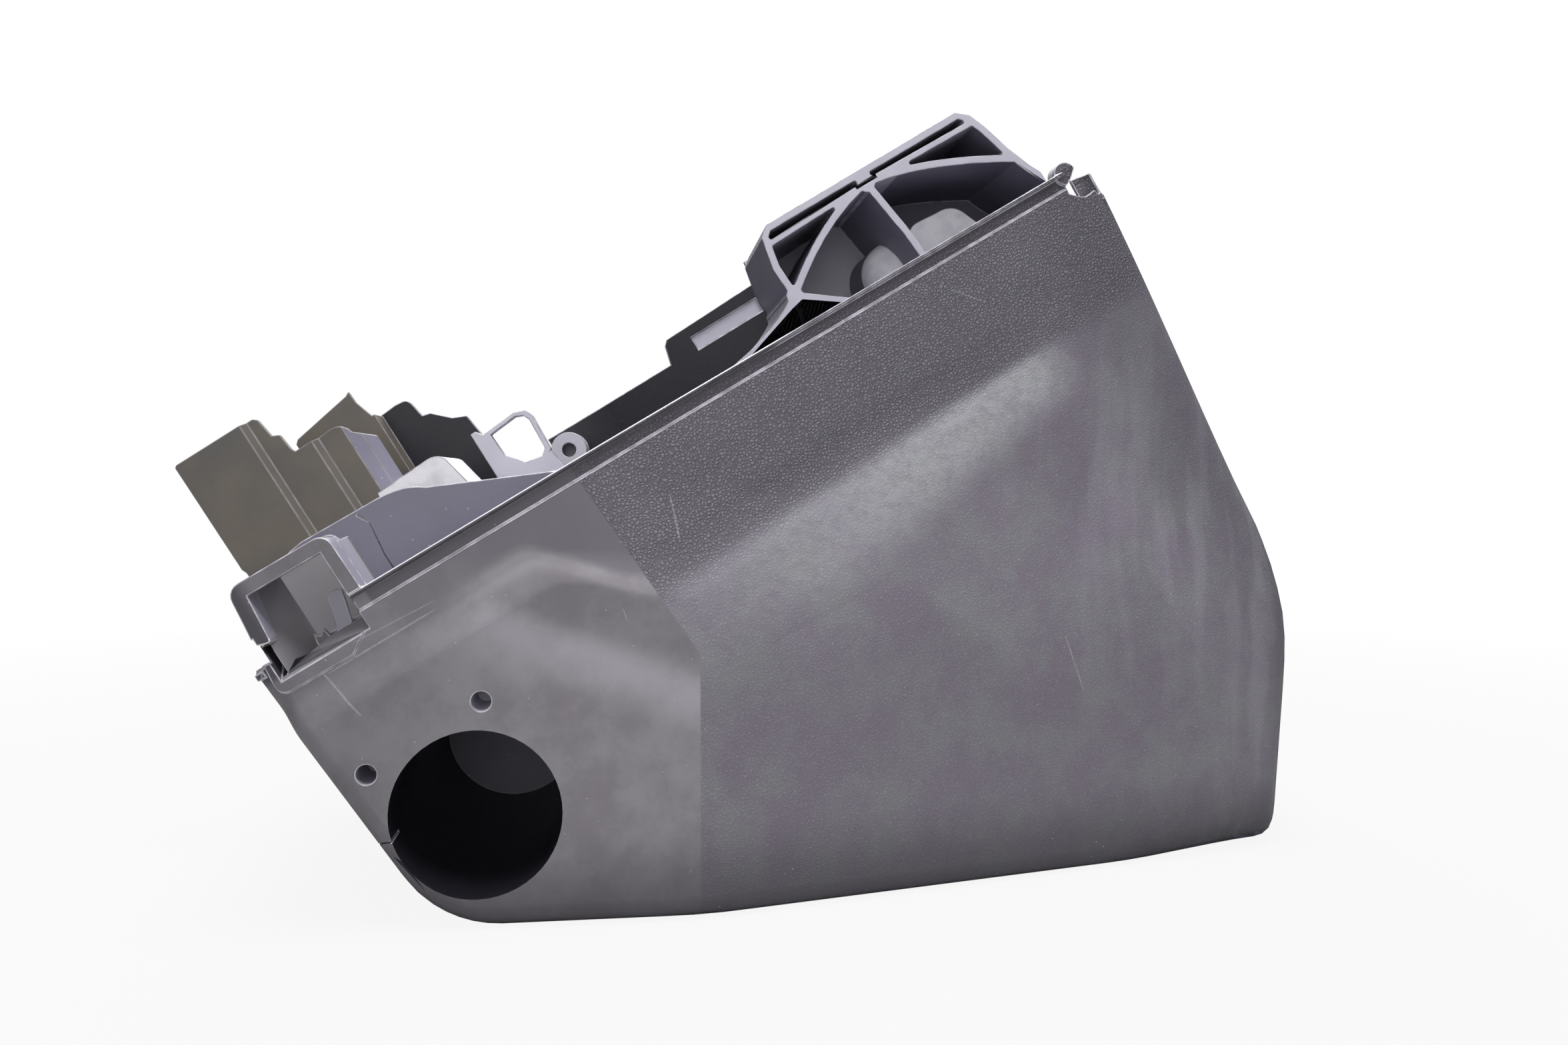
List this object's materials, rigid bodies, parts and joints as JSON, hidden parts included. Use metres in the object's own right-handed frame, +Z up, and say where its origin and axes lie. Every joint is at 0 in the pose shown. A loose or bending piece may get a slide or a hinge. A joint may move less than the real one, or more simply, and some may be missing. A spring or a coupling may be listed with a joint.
{
  "type": "steering support box",
  "caption": "Moulded plastic steering support box of a personal watercraft: a tapered open-topped housing with a blind hose port, clip socket, stepped wing and a ribbed column bracket.",
  "frame": {"origin": "on the flat bottom, midway between the wing tip and the nose and midway between the side panels", "axes": "+X to the nose, +Y to the far side panel away from the hose port, +Z up"},
  "size_m": [0.5728, 0.27, 0.3864],
  "materials": {
    "moulded_plastic": "moulded matte grey-black, part smooth and part leather grained, used"
  },
  "bodies": {
    "root": {"support_box": "moulded_plastic"}
  },
  "joints": []
}
